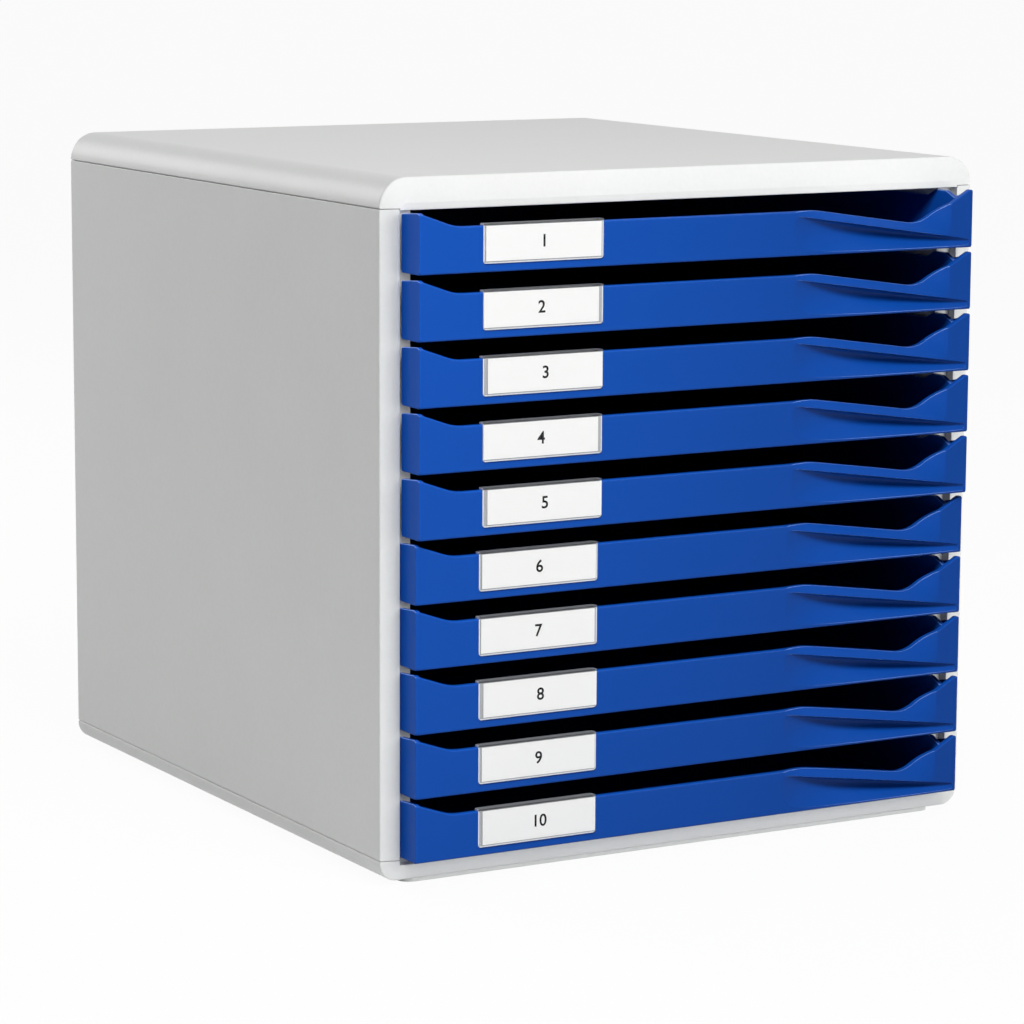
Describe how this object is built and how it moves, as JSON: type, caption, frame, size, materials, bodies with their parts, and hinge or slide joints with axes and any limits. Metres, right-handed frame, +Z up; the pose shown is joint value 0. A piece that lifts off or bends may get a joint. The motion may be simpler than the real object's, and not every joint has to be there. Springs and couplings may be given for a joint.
{
  "type": "desktop drawer unit",
  "caption": "Low plastic cabinet for a desk top with a column of shallow sliding drawers for A4 paper, each with a label window and a moulded finger grip",
  "frame": {"origin": "middle of the unit's bounding box, on the surface that it stands on", "axes": "X across the front, -Y out of the front, the way the drawers open, Z up"},
  "size_m": [0.291, 0.326, 0.2914],
  "materials": {
    "housing_grey": "light grey, fine satin texture",
    "drawer_blue": "royal blue, fine satin texture",
    "window_clear": "clear, glossy",
    "card_white": "white card",
    "rubber": "black, matt"
  },
  "bodies": {
    "housing": {"top_cover": "housing_grey", "base": "housing_grey", "left_side_panel": "housing_grey", "right_side_panel": "housing_grey", "back_panel": "housing_grey", "left_runner_rack": "housing_grey", "right_runner_rack": "housing_grey", "rubber_feet": "rubber"},
    "drawer_1_body": {"drawer_1": "drawer_blue", "label_window_1": "window_clear", "label_card_1": "card_white"},
    "drawer_2_body": {"drawer_2": "drawer_blue", "label_window_2": "window_clear", "label_card_2": "card_white"},
    "drawer_3_body": {"drawer_3": "drawer_blue", "label_window_3": "window_clear", "label_card_3": "card_white"},
    "drawer_4_body": {"drawer_4": "drawer_blue", "label_window_4": "window_clear", "label_card_4": "card_white"},
    "drawer_5_body": {"drawer_5": "drawer_blue", "label_window_5": "window_clear", "label_card_5": "card_white"},
    "drawer_6_body": {"drawer_6": "drawer_blue", "label_window_6": "window_clear", "label_card_6": "card_white"},
    "drawer_7_body": {"drawer_7": "drawer_blue", "label_window_7": "window_clear", "label_card_7": "card_white"},
    "drawer_8_body": {"drawer_8": "drawer_blue", "label_window_8": "window_clear", "label_card_8": "card_white"},
    "drawer_9_body": {"drawer_9": "drawer_blue", "label_window_9": "window_clear", "label_card_9": "card_white"},
    "drawer_10_body": {"drawer_10": "drawer_blue", "label_window_10": "window_clear", "label_card_10": "card_white"}
  },
  "joints": [
    {"name": "drawer_1_slide", "type": "slide", "parent": "housing", "child": "drawer_1_body", "axis": [0, -1, 0], "range_m": [-0.0027, 0.2373]},
    {"name": "drawer_2_slide", "type": "slide", "parent": "housing", "child": "drawer_2_body", "axis": [0, -1, 0], "range_m": [-0.0027, 0.2373]},
    {"name": "drawer_3_slide", "type": "slide", "parent": "housing", "child": "drawer_3_body", "axis": [0, -1, 0], "range_m": [-0.0027, 0.2373]},
    {"name": "drawer_4_slide", "type": "slide", "parent": "housing", "child": "drawer_4_body", "axis": [0, -1, 0], "range_m": [-0.0027, 0.2373]},
    {"name": "drawer_5_slide", "type": "slide", "parent": "housing", "child": "drawer_5_body", "axis": [0, -1, 0], "range_m": [-0.0027, 0.2373]},
    {"name": "drawer_6_slide", "type": "slide", "parent": "housing", "child": "drawer_6_body", "axis": [0, -1, 0], "range_m": [0, 0.24]},
    {"name": "drawer_7_slide", "type": "slide", "parent": "housing", "child": "drawer_7_body", "axis": [0, -1, 0], "range_m": [0, 0.24]},
    {"name": "drawer_8_slide", "type": "slide", "parent": "housing", "child": "drawer_8_body", "axis": [0, -1, 0], "range_m": [0, 0.24]},
    {"name": "drawer_9_slide", "type": "slide", "parent": "housing", "child": "drawer_9_body", "axis": [0, -1, 0], "range_m": [0, 0.24]},
    {"name": "drawer_10_slide", "type": "slide", "parent": "housing", "child": "drawer_10_body", "axis": [0, -1, 0], "range_m": [0, 0.24]}
  ]
}
